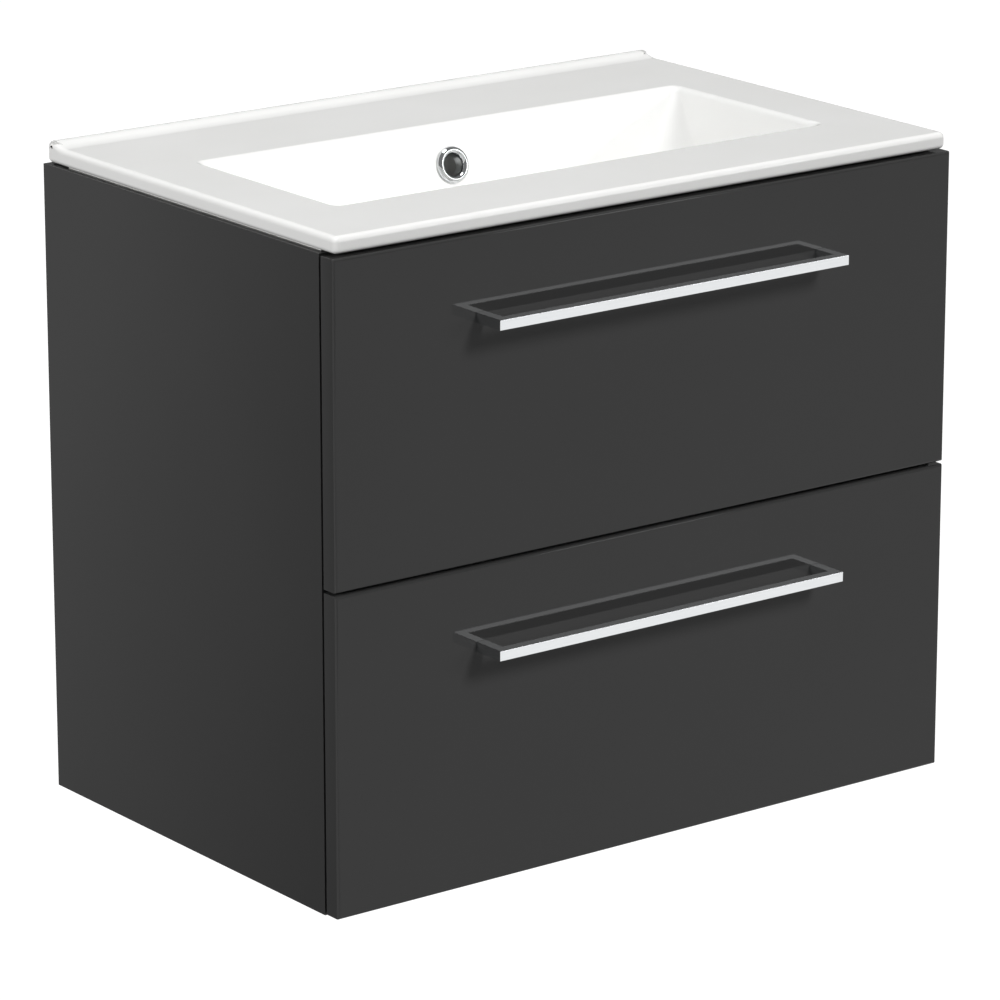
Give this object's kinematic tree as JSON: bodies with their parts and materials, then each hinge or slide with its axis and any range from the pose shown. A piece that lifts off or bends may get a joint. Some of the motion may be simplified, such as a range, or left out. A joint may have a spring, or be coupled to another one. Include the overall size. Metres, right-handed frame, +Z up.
{
  "type": "bathroom vanity cabinet",
  "caption": "Wall-hung bathroom vanity unit: gloss anthracite cabinet with sliding drawers and bar handles under a white inset ceramic basin.",
  "frame": {"origin": "middle of the unit's back, on the wall plane, at the carcass's underside", "axes": "+X along the front to the right, +Y into the wall, +Z up; the drawers face -Y"},
  "size_m": [0.615, 0.432, 0.5465],
  "materials": {
    "gloss_front": "high gloss anthracite lacquer on MDF",
    "carcass_board": "gloss anthracite lacquer on board",
    "drawer_board": "light grey melamine",
    "glazed_ceramic": "white glaze",
    "chrome": "polished chrome plate",
    "zinc_plated_steel": "bright zinc plate",
    "screw_steel": "zinc plate",
    "die_cast_zinc": "as cast",
    "beech": "bare",
    "white_plastic": "moulded",
    "clear_rubber": "soft",
    "silicone": "smooth"
  },
  "bodies": {
    "cabinet": {"left_side_panel": "carcass_board", "right_side_panel": "carcass_board", "bottom_panel": "carcass_board", "upper_back_rail": "carcass_board", "lower_back_rail": "carcass_board", "front_top_rail": "carcass_board", "carcass_dowels": "beech", "cam_bolts": "screw_steel", "cam_discs": "die_cast_zinc", "left_hanger": "zinc_plated_steel", "right_hanger": "zinc_plated_steel", "left_hanger_cover": "white_plastic", "right_hanger_cover": "white_plastic", "left_wall_plate": "zinc_plated_steel", "right_wall_plate": "zinc_plated_steel", "hanger_screws": "screw_steel", "basin": "glazed_ceramic", "overflow_ring": "chrome", "basin_seal": "silicone", "lower_left_cabinet_member": "zinc_plated_steel", "lower_right_cabinet_member": "zinc_plated_steel", "upper_left_cabinet_member": "zinc_plated_steel", "upper_right_cabinet_member": "zinc_plated_steel", "cabinet_member_screws": "screw_steel"},
    "upper_drawer": {"upper_drawer_front": "gloss_front", "upper_handle": "chrome", "upper_front_screws": "screw_steel", "upper_handle_screws": "screw_steel", "upper_left_box_side": "drawer_board", "upper_right_box_side": "drawer_board", "upper_box_front": "drawer_board", "upper_box_base": "drawer_board", "upper_left_drawer_member": "zinc_plated_steel", "upper_right_drawer_member": "zinc_plated_steel", "upper_drawer_member_screws": "screw_steel", "upper_bumper_pads": "clear_rubber", "cutout_front": "drawer_board", "cutout_left_side": "drawer_board", "cutout_right_side": "drawer_board", "upper_left_box_back": "drawer_board", "upper_right_box_back": "drawer_board"},
    "upper_runner_middles": {"upper_left_middle_member": "zinc_plated_steel", "upper_right_middle_member": "zinc_plated_steel"},
    "lower_drawer": {"lower_drawer_front": "gloss_front", "lower_handle": "chrome", "lower_front_screws": "screw_steel", "lower_handle_screws": "screw_steel", "lower_left_box_side": "drawer_board", "lower_right_box_side": "drawer_board", "lower_box_front": "drawer_board", "lower_box_base": "drawer_board", "lower_left_drawer_member": "zinc_plated_steel", "lower_right_drawer_member": "zinc_plated_steel", "lower_drawer_member_screws": "screw_steel", "lower_bumper_pads": "clear_rubber", "lower_box_back": "drawer_board"},
    "lower_runner_middles": {"lower_left_middle_member": "zinc_plated_steel", "lower_right_middle_member": "zinc_plated_steel"}
  },
  "joints": [
    {"name": "upper_drawer_slide", "type": "slide", "parent": "cabinet", "child": "upper_drawer", "axis": [0, -1, 0], "range_m": [0, 0.35]},
    {"name": "upper_middles_slide", "type": "slide", "parent": "cabinet", "child": "upper_runner_middles", "axis": [0, -1, 0], "range_m": [0, 0.175]},
    {"name": "lower_drawer_slide", "type": "slide", "parent": "cabinet", "child": "lower_drawer", "axis": [0, -1, 0], "range_m": [0, 0.35]},
    {"name": "lower_middles_slide", "type": "slide", "parent": "cabinet", "child": "lower_runner_middles", "axis": [0, -1, 0], "range_m": [0, 0.175]}
  ],
  "couplings": [
    {"joint": "upper_middles_slide", "follows": "upper_drawer_slide", "ratio": 0.5},
    {"joint": "lower_middles_slide", "follows": "lower_drawer_slide", "ratio": 0.5}
  ]
}
